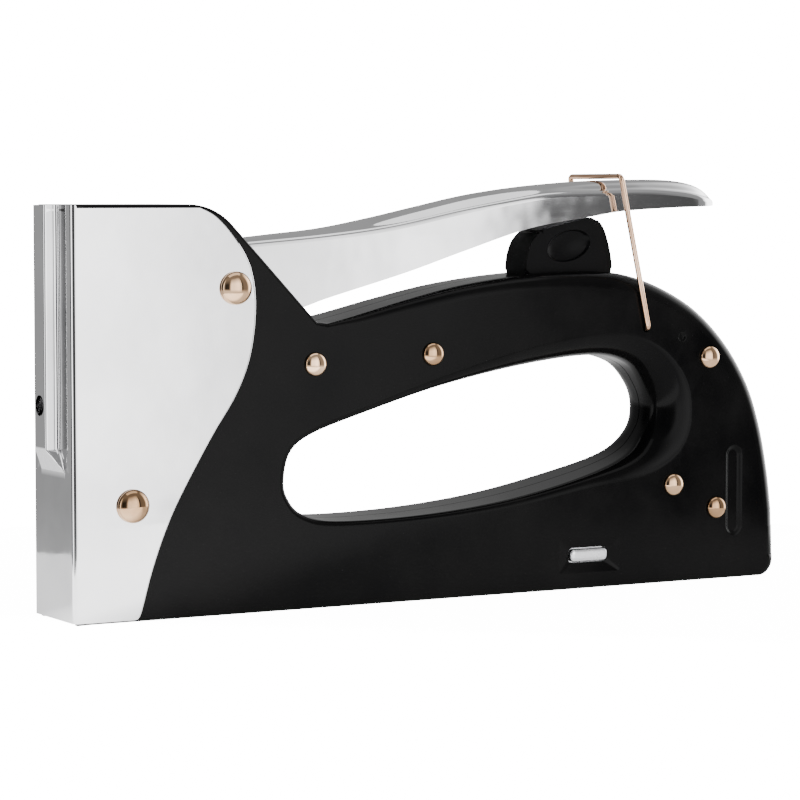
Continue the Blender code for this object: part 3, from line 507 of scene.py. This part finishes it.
def skin_rings(bm, stations, side, depth, steps, sign):
    """Rings of one skin of a turned-in edge, from its lip to the flat side of the shell."""
    outline = [(x, z) for x, z, _, _ in stations]
    inward = offset_directions(outline)
    rings = []
    for k in range(-1, steps + 1):
        angle = math.pi / 2 * max(k, 0) / steps
        ring = []
        for (x, z, radius, lip), (dx, dz) in zip(stations, inward):
            bend = max(radius - depth, 0.35 if depth else 0.0)
            inset = (depth + bend * (1 - math.cos(angle))) * sign
            y = BODY_HALF_WIDTH - depth - bend + bend * math.sin(angle)
            if k < 0:
                y = min(lip, y - 0.2)
            ring.append(bm.verts.new((x + dx * inset, side * y, z + dz * inset)))
        rings.append(ring)
    for first, second in zip(rings, rings[1:]):
        bridge(bm, first, second)
    return rings


def hole_through_side(bm, outline, side):
    outer = [bm.verts.new((x, side * BODY_HALF_WIDTH, z)) for x, z in outline]
    inner = [bm.verts.new((x, side * (BODY_HALF_WIDTH - SHELL_SHEET), z)) for x, z in outline]
    bridge(bm, outer, inner)
    return outer, inner


def pressed_recess(bm, outline, side, depth, inset, steps=4):
    """A shallow recess with softly rounded sides pressed into the flat side."""
    rings = []
    for k in range(steps + 1):
        t = k / steps
        y = BODY_HALF_WIDTH - depth * (t * t * (3 - 2 * t))
        line = offset_line(outline, inset * t, True)
        rings.append([bm.verts.new((x, side * y, z)) for x, z in line])
    for first, second in zip(rings, rings[1:]):
        bridge(bm, first, second)
    return rings[0], rings[-1]


def rounded_rectangle(x0, x1, z0, z1, radius, count=4):
    outline = []
    for cx, cz, start in ((x1 - radius, z0 + radius, -90), (x1 - radius, z1 - radius, 0),
                          (x0 + radius, z1 - radius, 90), (x0 + radius, z0 + radius, 180)):
        outline += arc(cx, cz, radius, start, start + 90, count)
    return outline


def catch_recess(bm, side):
    """The recess with four sloping sides round the catch button's slot, its edges softened by the press."""
    x0, x1 = CATCH_X
    z0, z1 = CATCH_Z
    outer = rounded_rectangle(133.4, 152.2, 4.0, 13.2, 0.7)
    slot = rounded_rectangle(x0 - 0.3, x1 + 0.3, z0 - 0.3, z1 + 0.3, 1.2)
    rings = []
    slope = ((0.0, 0.0), (0.05, 0.02), (0.1, 0.07), (0.17, 0.15), (0.9, 0.94), (0.96, 0.99), (1.0, 1.0))
    for share, sunk in slope:
        ring = [((1 - share) * ax + share * bx, (1 - share) * az + share * bz)
                for (ax, az), (bx, bz) in zip(outer, slot)]
        rings.append([bm.verts.new((x, side * (BODY_HALF_WIDTH - 0.7 * sunk), z)) for x, z in ring])
    rings.append([bm.verts.new((x, side * (BODY_HALF_WIDTH - SHELL_SHEET), z)) for x, z in slot])
    for first, second in zip(rings, rings[1:]):
        bridge(bm, first, second)
    return rings[0], rings[-1]


def slot_outline(x, z0, z1, radius, count=14):
    return arc(x, z1 - radius, radius, 0, 180, count) + arc(x, z0 + radius, radius, 180, 360, count)


def make_shell(side):
    """One pressed-steel half of the body: a flat side with its edges turned in to the middle plane."""
    bm = bmesh.new()
    outer_rings, inner_rings = [], []
    for stations, sign in ((body_outline(), 1), (grip_outline(), -1)):
        outer = skin_rings(bm, stations, side, 0.0, 10, sign)
        inner = skin_rings(bm, stations, side, SHELL_SHEET, 4, sign)
        bridge(bm, outer[0], inner[0])
        outer_rings.append(outer[-1])
        inner_rings.append(inner[-1])
    holes = [(LEVER_PIVOT, 3.3), (LOWER_RIVET, 2.8), (BAIL_PIVOT, BAIL_WIRE_RADIUS + 0.3)]
    holes += [(centre, 1.8) for centre in SHELL_RIVETS]
    for centre, radius in holes:
        outer, inner = hole_through_side(bm, circle(centre, radius, 24), side)
        outer_rings.append(outer)
        inner_rings.append(inner)
    outer, slot_inner = catch_recess(bm, side)
    outer_rings.append(outer)
    inner_rings.append(slot_inner)
    outer, floor = pressed_recess(bm, slot_outline(187.6, 11.0, 35.0, 2.7), side, 0.6, 1.4)
    outer_rings.append(outer)
    bm.faces.new(floor)
    outer, floor = pressed_recess(bm, circle((171.0, 63.5), 1.3, 20), side, 0.5, 0.7)
    outer_rings.append(outer)
    bm.faces.new(floor)
    fill_between(bm, outer_rings)
    fill_between(bm, inner_rings)
    return finish_mesh(bm)


# ---------------------------------------------------------------- nose cover

def cover_rear_edge():
    points = [(15.6, COVER_BOTTOM), (17.2, 2.0), (20.1, 11.7), (23.4, 20.5), (27.5, 29.0), (35.8, 42.9),
              (41.7, 51.7), (45.2, 59.0), (47.0, 66.5), (47.6, 75.0), (46.6, 82.0), (44.3, 87.0),
              (40.5, 92.0), (36.9, 95.3), (33.2, COVER_TOP)]
    return curve_through(points, 8)


# Each skin's rear edge as (in from the edge, below the side), and its rib as (X, Y past the half width)
OUTER_EDGE = [(0.0, 0.5), (0.07, 0.26), (0.24, 0.08), (0.55, 0.0)]
INNER_EDGE = [(0.0, 0.0), (0.2, 0.0), (0.4, 0.0), (0.6, 0.0)]
OUTER_RIB = [(0.0, 0.85), (-0.07, 0.5), (-0.24, 0.22), (-0.5, 0.06), (-0.85, 0.0), (-2.75, 0.0),
             (-2.98, -0.05), (-3.15, -0.17), (-3.26, -0.36), (-NOSE_RIB_HEIGHT, -0.62)]
INNER_RIB = [(0.0, 0.35), (-0.05, 0.0), (-0.2, -0.35), (-0.45, -0.62), (-0.8, -0.76), (-1.6, -0.8),
             (-2.7, -0.8), (-3.1, -0.86), (-3.27, -1.0), (-NOSE_RIB_HEIGHT, -1.25)]
FRONT_BULGE = ((0.75, 0.08), (0.47, 0.16), (0.26, 0.2), (0.12, 0.16))
EDGE_POINTS = 5


def cover_section(rear_x, z, depth):
    """One skin of the cover at a height, from the right side's rear edge round the nose to the left's."""
    rise = min(max((z - RIB_RAMP_BOTTOM) / (RIB_RAMP_TOP - RIB_RAMP_BOTTOM), 0), 1)
    flare = 1 + 1.1 * (1 - rise) ** 0.8
    edge, rib = (INNER_EDGE, INNER_RIB) if depth else (OUTER_EDGE, OUTER_RIB)
    half = [(rear_x - x, COVER_HALF_WIDTH - depth - y) for x, y in edge]
    half += arc(COVER_BEND, COVER_HALF_WIDTH - COVER_BEND, COVER_BEND - depth, 90, 180, 8)
    foot = (RIB_HALF_WIDTH + rib[0][1]) * flare
    for share, bulge in FRONT_BULGE:
        half.append((depth - bulge * rise, foot + (COVER_HALF_WIDTH - COVER_BEND - foot) * share))
    half += [(depth + x * rise, (RIB_HALF_WIDTH + y) * flare) for x, y in rib]
    return half + [(x, -y) for x, y in reversed(half)]


def top_of_cover(z, k, count):
    """Height of a point of a row: in the top row, the nose stands a little above the two sides."""
    on_nose = EDGE_POINTS <= k < count - EDGE_POINTS
    return z + COVER_FRONT_RISE if z == COVER_TOP and on_nose else z


def make_nose_cover():
    bm = bmesh.new()
    edge = cover_rear_edge()
    ramp = [RIB_RAMP_BOTTOM + (RIB_RAMP_TOP - RIB_RAMP_BOTTOM) * k / 8 for k in range(9)]
    rows = sorted({round(z, 3) for _, z in edge} | {round(z, 3) for z in ramp})
    table = sorted((z, x) for x, z in edge)
    skins = []
    for depth in (0.0, COVER_SHEET):
        skin = []
        for z in rows:
            section = cover_section(value_at(table, z), z, depth)
            count = len(section)
            skin.append([bm.verts.new((x, y, top_of_cover(z, k, count))) for k, (x, y) in enumerate(section)])
        for first, second in zip(skin, skin[1:]):
            bridge(bm, first, second, closed=False)
        skins.append(skin)
    outer, inner = skins
    for end in (0, -1):
        bridge(bm, outer[end], inner[end], closed=False)
        bridge(bm, [row[end] for row in outer], [row[end] for row in inner], closed=False)
    cover = finish_mesh(bm)
    cutters = [rod((LEVER_PIVOT[0], 0, LEVER_PIVOT[1]), 3.3, -14, 14, "y"),
               rod((LOWER_RIVET[0], 0, LOWER_RIVET[1]), 2.8, -14, 14, "y"),
               rod((0, 0, RIB_HOLE_Z), RIB_HOLE_RADIUS, -5, 0.2, "x")]
    return cut(cover, *cutters)


# ---------------------------------------------------------------- rivets

def make_rivet(centre, shank, radius, height, surface, sides=48):
    """A round-head rivet with a dome on each side: a short upright rim, then an even curve to the top."""
    rim = 0.12 * height
    right = [(surface, shank), (surface, radius - 0.12), (surface + rim, radius)]
    for k in range(1, 10):
        a = math.pi / 2 * k / 10
        right.append((surface + rim + (height - rim) * math.sin(a), radius * math.cos(a)))
    right.append((surface + height, 0))
    left = [(-along, r) for along, r in reversed(right)]
    return turned(left + right, (centre[0], 0, centre[1]), "y", sides)


# ---------------------------------------------------------------- lever

CROWN = [(LEVER_FRONT, 89.45), (58.1, 90.75), (71.3, 92.1), (84.7, 94.5), (98.4, 97.35), (112.2, 100.15),
         (126.4, 102.1), (140.8, 103.35), (151.0, 103.85), (163.0, 104.1), (172.0, 104.0), (178.0, 103.3),
         (182.0, 101.9), (185.9, 99.0)]
SHOULDER = [(LEVER_FRONT, 88.85), (67.9, 90.7), (86.7, 93.0), (106.9, 96.9), (125.9, 100.0), (135.0, 101.0),
            (151.0, 101.5), (163.0, 101.7), (174.0, 101.0), (180.0, 99.8), (185.9, 98.4)]
LOWER_EDGE = [(LEVER_FRONT, 71.6), (56.0, 71.8), (62.3, 73.3), (68.3, 75.2), (90.1, 81.1), (106.9, 86.3),
              (125.9, 91.8), (144.7, 94.7), (154.0, 96.0), (168.6, 96.8), (180.7, 97.2), (185.9, 97.5)]
SMOOTH = {name: curve_through(points, 8) for name, points in
          (("crown", CROWN), ("shoulder", SHOULDER), ("lower", LOWER_EDGE))}


def lever_section(x):
    """The lever's outer line at X, from its left lower edge over the crown to its right, as (Y, Z)."""
    width = LEVER_HALF_WIDTH
    if x > LEVER_TIP_CENTRE:
        width = math.sqrt(max(LEVER_HALF_WIDTH ** 2 - (x - LEVER_TIP_CENTRE) ** 2, 1.0))
    crown, shoulder, lower = (value_at(SMOOTH[name], x) for name in ("crown", "shoulder", "lower"))
    drop = min(1.6, (shoulder - lower) * 0.6)
    key = [(width, lower), (width, (lower + shoulder - drop) / 2), (width, shoulder - drop),
           (width * 0.955, shoulder - 0.28 * drop), (width * 0.83, shoulder + 0.12),
           (width * 0.48, shoulder + (crown - shoulder) * 0.76), (0.0, crown)]
    line = [(-y, z) for y, z in key] + [(y, z) for y, z in reversed(key[:-1])]
    return curve_through(line[:3], 1)[:2] + curve_through(line[2:-2], 5) + line[-2:]


def lever_channel():
    tail = [LEVER_TIP_CENTRE + LEVER_HALF_WIDTH * math.sin(math.radians(a)) for a in range(0, 81, 8)]
    stations = [LEVER_FRONT + (LEVER_TIP_CENTRE - LEVER_FRONT) * i / 64 for i in range(64)] + tail
    bm = bmesh.new()
    rings = []
    for x in stations:
        outer = lever_section(x)
        inner = offset_line(outer, -min(LEVER_SHEET, abs(outer[0][0]) * 0.55))
        loop = outer + list(reversed(inner))
        rings.append([bm.verts.new((x, y, z)) for y, z in loop])
    for first, second in zip(rings, rings[1:]):
        bridge(bm, first, second)
    half = len(rings[0]) // 2
    for ring in (rings[0], rings[-1]):
        for i in range(half - 1):
            bm.faces.new((ring[i], ring[i + 1], ring[-2 - i], ring[-1 - i]))
    return finish_mesh(bm)


def lever_cheek_outline():
    px, pz = LEVER_PIVOT
    lean = math.radians(180 - LEVER_ARM_ANGLE)
    along = (math.cos(lean), math.sin(lean))
    across = (-along[1], along[0])
    arm = [(LEVER_ARM_LENGTH, -2.2), (LEVER_ARM_LENGTH - 0.6, -2.9), (7.0, -4.6)]
    under = [(px + a * along[0] - b * across[0], pz + a * along[1] - b * across[1]) for a, b in arm]
    over = [(px + a * along[0] + b * across[0], pz + a * along[1] + b * across[1]) for a, b in arm]
    boss_below = arc(px, pz, 8.5, 225, 290, 12)
    boss_above = arc(px, pz, 8.5, 60, 135, 12)
    root = [(56.0, 72.1), (61.0, 73.4), (61.0, 88.0), (50.0, 87.4)]
    lower_arm = over if over[0][1] < under[0][1] else under
    upper_arm = under if lower_arm is over else over
    return lower_arm + boss_below + root + boss_above + list(reversed(upper_arm))


def make_lever():
    parts = [lever_channel()]
    outline = lever_cheek_outline()
    for side in (-1, 1):
        walls = sorted((side * (LEVER_HALF_WIDTH - LEVER_SHEET + 0.05), side * (LEVER_HALF_WIDTH - 0.05)))
        parts.append(prism(outline, walls))
    pivot_hole = rod((LEVER_PIVOT[0], 0, LEVER_PIVOT[1]), 4.5, -12, 12, "y")
    return cut(joined(*parts), pivot_hole)


# ---------------------------------------------------------------- bail, bumper, catch, plug

def rounded_route(corners, radius, steps):
    points = [Vector(c) for c in corners]
    route = [points[0]]
    for before, corner, after in zip(points, points[1:], points[2:]):
        to_start = (before - corner).normalized() * radius
        to_end = (after - corner).normalized() * radius
        for k in range(steps + 1):
            t = k / steps
            route.append(corner + to_start * (1 - t) ** 2 + to_end * t ** 2)
    return route + [points[-1]]


def make_wire_bail():
    px, pz = BAIL_PIVOT
    cx, cz = BAIL_CROSSBAR
    w = BAIL_HALF_WIDTH
    foot = BODY_HALF_WIDTH - SHELL_SHEET - 0.6
    corners = [(px, -foot, pz), (px, -w, pz), (cx, -w, cz), (cx, w, cz), (px, w, pz), (px, foot, pz)]
    return tube(rounded_route(corners, 1.2, 8), BAIL_WIRE_RADIUS, 20)


def make_bumper():
    base = [(153.1, 79.2), (151.0, 79.4), (146.0, 79.7), (139.0, 79.8), (132.0, 79.6), (127.3, 79.3)]
    side = [(127.2, 81.0), (127.3, 83.0), (127.8, 85.6), (129.1, 88.5), (131.0, 90.5), (133.0, 91.6),
            (139.8, 93.1), (145.9, 94.35), (148.6, 93.7), (150.8, 90.9), (152.5, 85.4), (153.1, 81.0)]
    block = prism(base + curve_through(side, 4)[1:-1], (-5.2, 5.2), bevel=1.1, segments=6)
    hollow = [(-14, 0), (-14, 7.0), (-5.6, 6.2), (-4.5, 5.4), (-3.9, 3.6), (-3.7, 0)]
    dish = turned(hollow, (0, 0, 0), "y", 40)
    dishes = []
    for turn in (0, 180):
        mesh = dish.copy()
        tilt = Matrix.Rotation(math.radians(-14 if turn == 0 else 14), 4, "Y")
        mesh.transform(Matrix.Translation((139.9, 0, 87.2)) @ Matrix.Rotation(math.radians(turn), 4, "Z")
                       @ tilt @ Matrix.Diagonal((1.12, 1, 0.66, 1)))
        dishes.append(mesh)
    stem = box((134.6, 144.4), (-3.0, 3.0), (75.5, 83.5))
    foot = box((133.0, 146.0), (-7.5, 7.5), (74.3, 76.6))
    return joined(cut(block, *dishes), stem, foot)


def make_magazine_end():
    outline = [(196.3, 1.4), (200.6, 1.4), (201.5, 3.6), (201.5, 12.4), (196.3, 12.4)]
    plug = prism(outline, (-6.2, 6.2), bevel=0.5, segments=3)
    finger_groove = box((199.9, 203.0), (-4.6, 4.6), (5.6, 8.6), bevel=0.5)
    rod_socket = rod((0, 0, 5.8), 1.2, 195, 197.5, "x", 24)
    return cut(plug, finger_groove, rod_socket)


def make_catch(side):
    """A release button with round ends and a domed face, on its flat spring arm."""
    x0, x1 = CATCH_X
    z0, z1 = CATCH_Z
    arm = box((134.5, 170.0), sorted((side * 9.0, side * 9.4)), (z0 - 0.6, z1 + 0.6), 0.08)
    foot = box((166.0, 170.0), sorted((side * 7.95, side * 9.2)), (z0 - 0.6, z1 + 0.6), 0.08)
    outline = rounded_rectangle(x0, x1, z0, z1, 1.15, 8)
    bm = bmesh.new()
    rings = []
    for inset, y in ((0.0, 9.2), (0.0, 10.75), (0.06, 11.0), (0.22, 11.22), (0.45, 11.36), (0.8, 11.45),
                     (1.1, 11.49)):
        rings.append([bm.verts.new((x, side * y, z)) for x, z in offset_line(outline, inset, True)])
    for first, second in zip(rings, rings[1:]):
        bridge(bm, first, second)
    bm.faces.new(rings[0])
    bm.faces.new(rings[-1])
    return joined(arm, foot, finish_mesh(bm))


# ---------------------------------------------------------------- stage, light and camera

def place(x, y, z):
    return Vector(((x - CENTRE_X) * MM, y * MM, z * MM))


def stage_sheet(name, corners, colour, roughness=0.6):
    mesh = bpy.data.meshes.new(name)
    mesh.from_pydata([Vector(c) for c in corners], [], [tuple(range(len(corners)))])
    material, _ = new_material(name, colour, 0.0, roughness)
    mesh.materials.append(material)
    obj = bpy.data.objects.new(name, mesh)
    bpy.context.scene.collection.objects.link(obj)
    return obj


def area_light(name, place_at, look_at, size, power, colour=(1, 1, 1)):
    data = bpy.data.lights.new(name, "AREA")
    data.shape = "RECTANGLE"
    data.size, data.size_y = size
    data.energy = power
    data.color = colour
    obj = bpy.data.objects.new(name, data)
    bpy.context.scene.collection.objects.link(obj)
    obj.location = place_at
    aim = Vector(look_at) - Vector(place_at)
    obj.rotation_mode = "QUATERNION"
    obj.rotation_quaternion = aim.to_track_quat("-Z", "Y")
    return obj


def world_bearing(tree):
    """A direction's bearing, from 0 at -180 degrees (-X) through 0.5 at +X, and its X, Y and Z."""
    place_at = tree.nodes.new("ShaderNodeTexCoord")
    parts = tree.nodes.new("ShaderNodeSeparateXYZ")
    tree.links.new(place_at.outputs["Generated"], parts.inputs[0])
    bearing = tree.nodes.new("ShaderNodeMath")
    bearing.operation = "ARCTAN2"
    tree.links.new(parts.outputs["Y"], bearing.inputs[0])
    tree.links.new(parts.outputs["X"], bearing.inputs[1])
    turn = tree.nodes.new("ShaderNodeMapRange")
    turn.inputs["From Min"].default_value = -math.pi
    turn.inputs["From Max"].default_value = math.pi
    tree.links.new(bearing.outputs[0], turn.inputs["Value"])
    return turn, parts


def grey_ramp(tree, source, output, stops):
    """A grey level for each position from 0 to 1."""
    ramp = tree.nodes.new("ShaderNodeValToRGB")
    tree.links.new(source.outputs[output], ramp.inputs["Fac"])
    elements = ramp.color_ramp.elements
    for element, (place_at, value) in zip(elements, (stops[0], stops[-1])):
        element.position = place_at
        element.color = (value, value, value, 1)
    for place_at, value in stops[1:-1]:
        elements.new(place_at).color = (value, value, value, 1)
    return ramp


def studio_world():
    """A room that is brighter in some directions lights the tool; the camera sees plain white instead."""
    world = bpy.data.worlds.new("studio")
    world.use_nodes = True
    tree = world.node_tree
    room = tree.nodes["Background"]
    turn, parts = world_bearing(tree)
    stops = [((degrees + 180) / 360, value) for degrees, value in ROOM_LEVELS]
    ring = grey_ramp(tree, turn, "Result", stops)
    colour = ring.outputs["Color"]
    for start, end, value in (CEILING, GROUND):
        height = tree.nodes.new("ShaderNodeMapRange")
        height.inputs["From Min"].default_value = start
        height.inputs["From Max"].default_value = end
        tree.links.new(parts.outputs["Z"], height.inputs["Value"])
        mix = tree.nodes.new("ShaderNodeMix")
        mix.data_type = "RGBA"
        tree.links.new(height.outputs["Result"], mix.inputs["Factor"])
        tree.links.new(colour, mix.inputs[6])
        mix.inputs[7].default_value = (value, value, value, 1)
        colour = mix.outputs[2]
    tree.links.new(colour, room.inputs["Color"])
    room.inputs["Strength"].default_value = ROOM_STRENGTH
    backdrop = tree.nodes.new("ShaderNodeBackground")
    backdrop.inputs["Strength"].default_value = BACKDROP_STRENGTH
    seen = tree.nodes.new("ShaderNodeLightPath")
    choose = tree.nodes.new("ShaderNodeMixShader")
    tree.links.new(seen.outputs["Is Camera Ray"], choose.inputs[0])
    tree.links.new(room.outputs[0], choose.inputs[1])
    tree.links.new(backdrop.outputs[0], choose.inputs[2])
    tree.links.new(choose.outputs[0], tree.nodes["World Output"].inputs["Surface"])
    bpy.context.scene.world = world


def make_floor():
    """A round table that glows like a lamp: a painted pool of light, brighter towards the front left, and
    more for the camera than on the tool.
    """
    around = [(FLOOR_RADIUS * math.cos(a), FLOOR_RADIUS * math.sin(a), -0.0002)
              for a in (2 * math.pi * k / 96 for k in range(96))]
    floor = stage_sheet("floor", around, (0.86, 0.86, 0.86))
    material = floor.data.materials[0]
    shader = material.node_tree.nodes["Principled BSDF"]
    where = add_node(material, "ShaderNodeTexCoord")
    along = add_node(material, "ShaderNodeVectorMath", {"operation": "DOT_PRODUCT"})
    along.inputs[1].default_value = (-0.9, -1.0, 0.0)
    link(material, where, "Object", along, 0)
    # Painted light: the floor glows brighter towards the front left, a painted pool of light that also lights
    # the tool
    painted_light_pool = remap(material, along, "Value", 0.075, 0.11, 0.6, 3.0)
    seen = add_node(material, "ShaderNodeLightPath")
    glow = add_node(material, "ShaderNodeMath", {"operation": "MULTIPLY_ADD"})
    glow.inputs[1].default_value = FLOOR_CAMERA_GLOW
    link(material, seen, "Is Camera Ray", glow, 0)
    link(material, painted_light_pool, "Result", glow, 2)
    shader.inputs["Emission Color"].default_value = (1, 1, 1, 1)
    link(material, glow, 0, shader, "Emission Strength")


def make_stage():
    make_floor()
    studio_world()
    area_light("top_softbox", (0.1, 0.3, 1.6), (0.1, 0.3, 0), (1.6, 1.6), 12)


def make_camera():
    data = bpy.data.cameras.new("camera")
    data.lens = CAMERA_LENS
    data.sensor_width = 36
    data.clip_start, data.clip_end = 0.05, 50
    camera = bpy.data.objects.new("camera", data)
    bpy.context.scene.collection.objects.link(camera)
    camera.location = place(*CAMERA_PLACE)
    a, e = math.radians(CAMERA_AZIMUTH), math.radians(CAMERA_ELEVATION)
    back = Vector((math.sin(a) * math.cos(e), -math.cos(a) * math.cos(e), math.sin(e)))
    camera.rotation_mode = "QUATERNION"
    camera.rotation_quaternion = (-back).to_track_quat("-Z", "Y")
    bpy.context.scene.camera = camera


# ---------------------------------------------------------------- assembly

def build_pieces():
    add_piece("body_shell_left", make_shell(-1), "black_paint", "frame", ["shell_left"])
    add_piece("body_shell_right", make_shell(1), "black_paint", "frame", ["shell_right"])
    add_piece("cover_sheet", make_nose_cover(), "chrome", "frame", ["nose_cover"], bevel=0.34,
              bevel_segments=3)
    surface = COVER_HALF_WIDTH + 0.05
    add_piece("rivet_pivot", make_rivet(LEVER_PIVOT, 3.0, 4.0, 2.7, surface), "nickel", "frame",
              ["pivot_rivet"])
    add_piece("rivet_nose", make_rivet(LOWER_RIVET, 2.5, 4.0, 2.7, surface), "nickel", "frame",
              ["nose_rivet"])
    for number, centre in enumerate(SHELL_RIVETS, 1):
        rivet = make_rivet(centre, 1.5, 2.9, 1.8, BODY_HALF_WIDTH + 0.05)
        add_piece(f"rivet_shell_{number}", rivet, "nickel", "frame", [f"shell_rivet_{number}"])
    add_piece("lever_sheet", make_lever(), "lever", "lever", ["lever"], bevel=0.22)
    add_piece("bail_wire", make_wire_bail(), "bronze_wire", "bail", ["wire_bail"], sharp=60)
    add_piece("bumper_block", make_bumper(), "black_plastic", "frame", ["lever_bumper"])
    add_piece("magazine_plug", make_magazine_end(), "steel", "magazine", ["magazine_end"])
    for name, side in (("left", -1), ("right", 1)):
        add_piece(f"button_{name}", make_catch(side), "catch", f"catch_button_{name}", [f"catch_{name}"])


def dress_cad_nodes():
    """Materials for the inner pieces that are shown as the CAD made them."""
    slots = {row["node"]: row["material_slot"] for row in frame["record"]["subparts"]}
    for name, node in frame["nodes"].items():
        if node.hide_render:
            continue
        look = LOOKS[slots[name]]
        if node.material_slots:
            for used in node.material_slots:
                used.material = look
        else:
            node.data.materials.append(look)


build_pieces()
dress_cad_nodes()
make_stage()
make_camera()
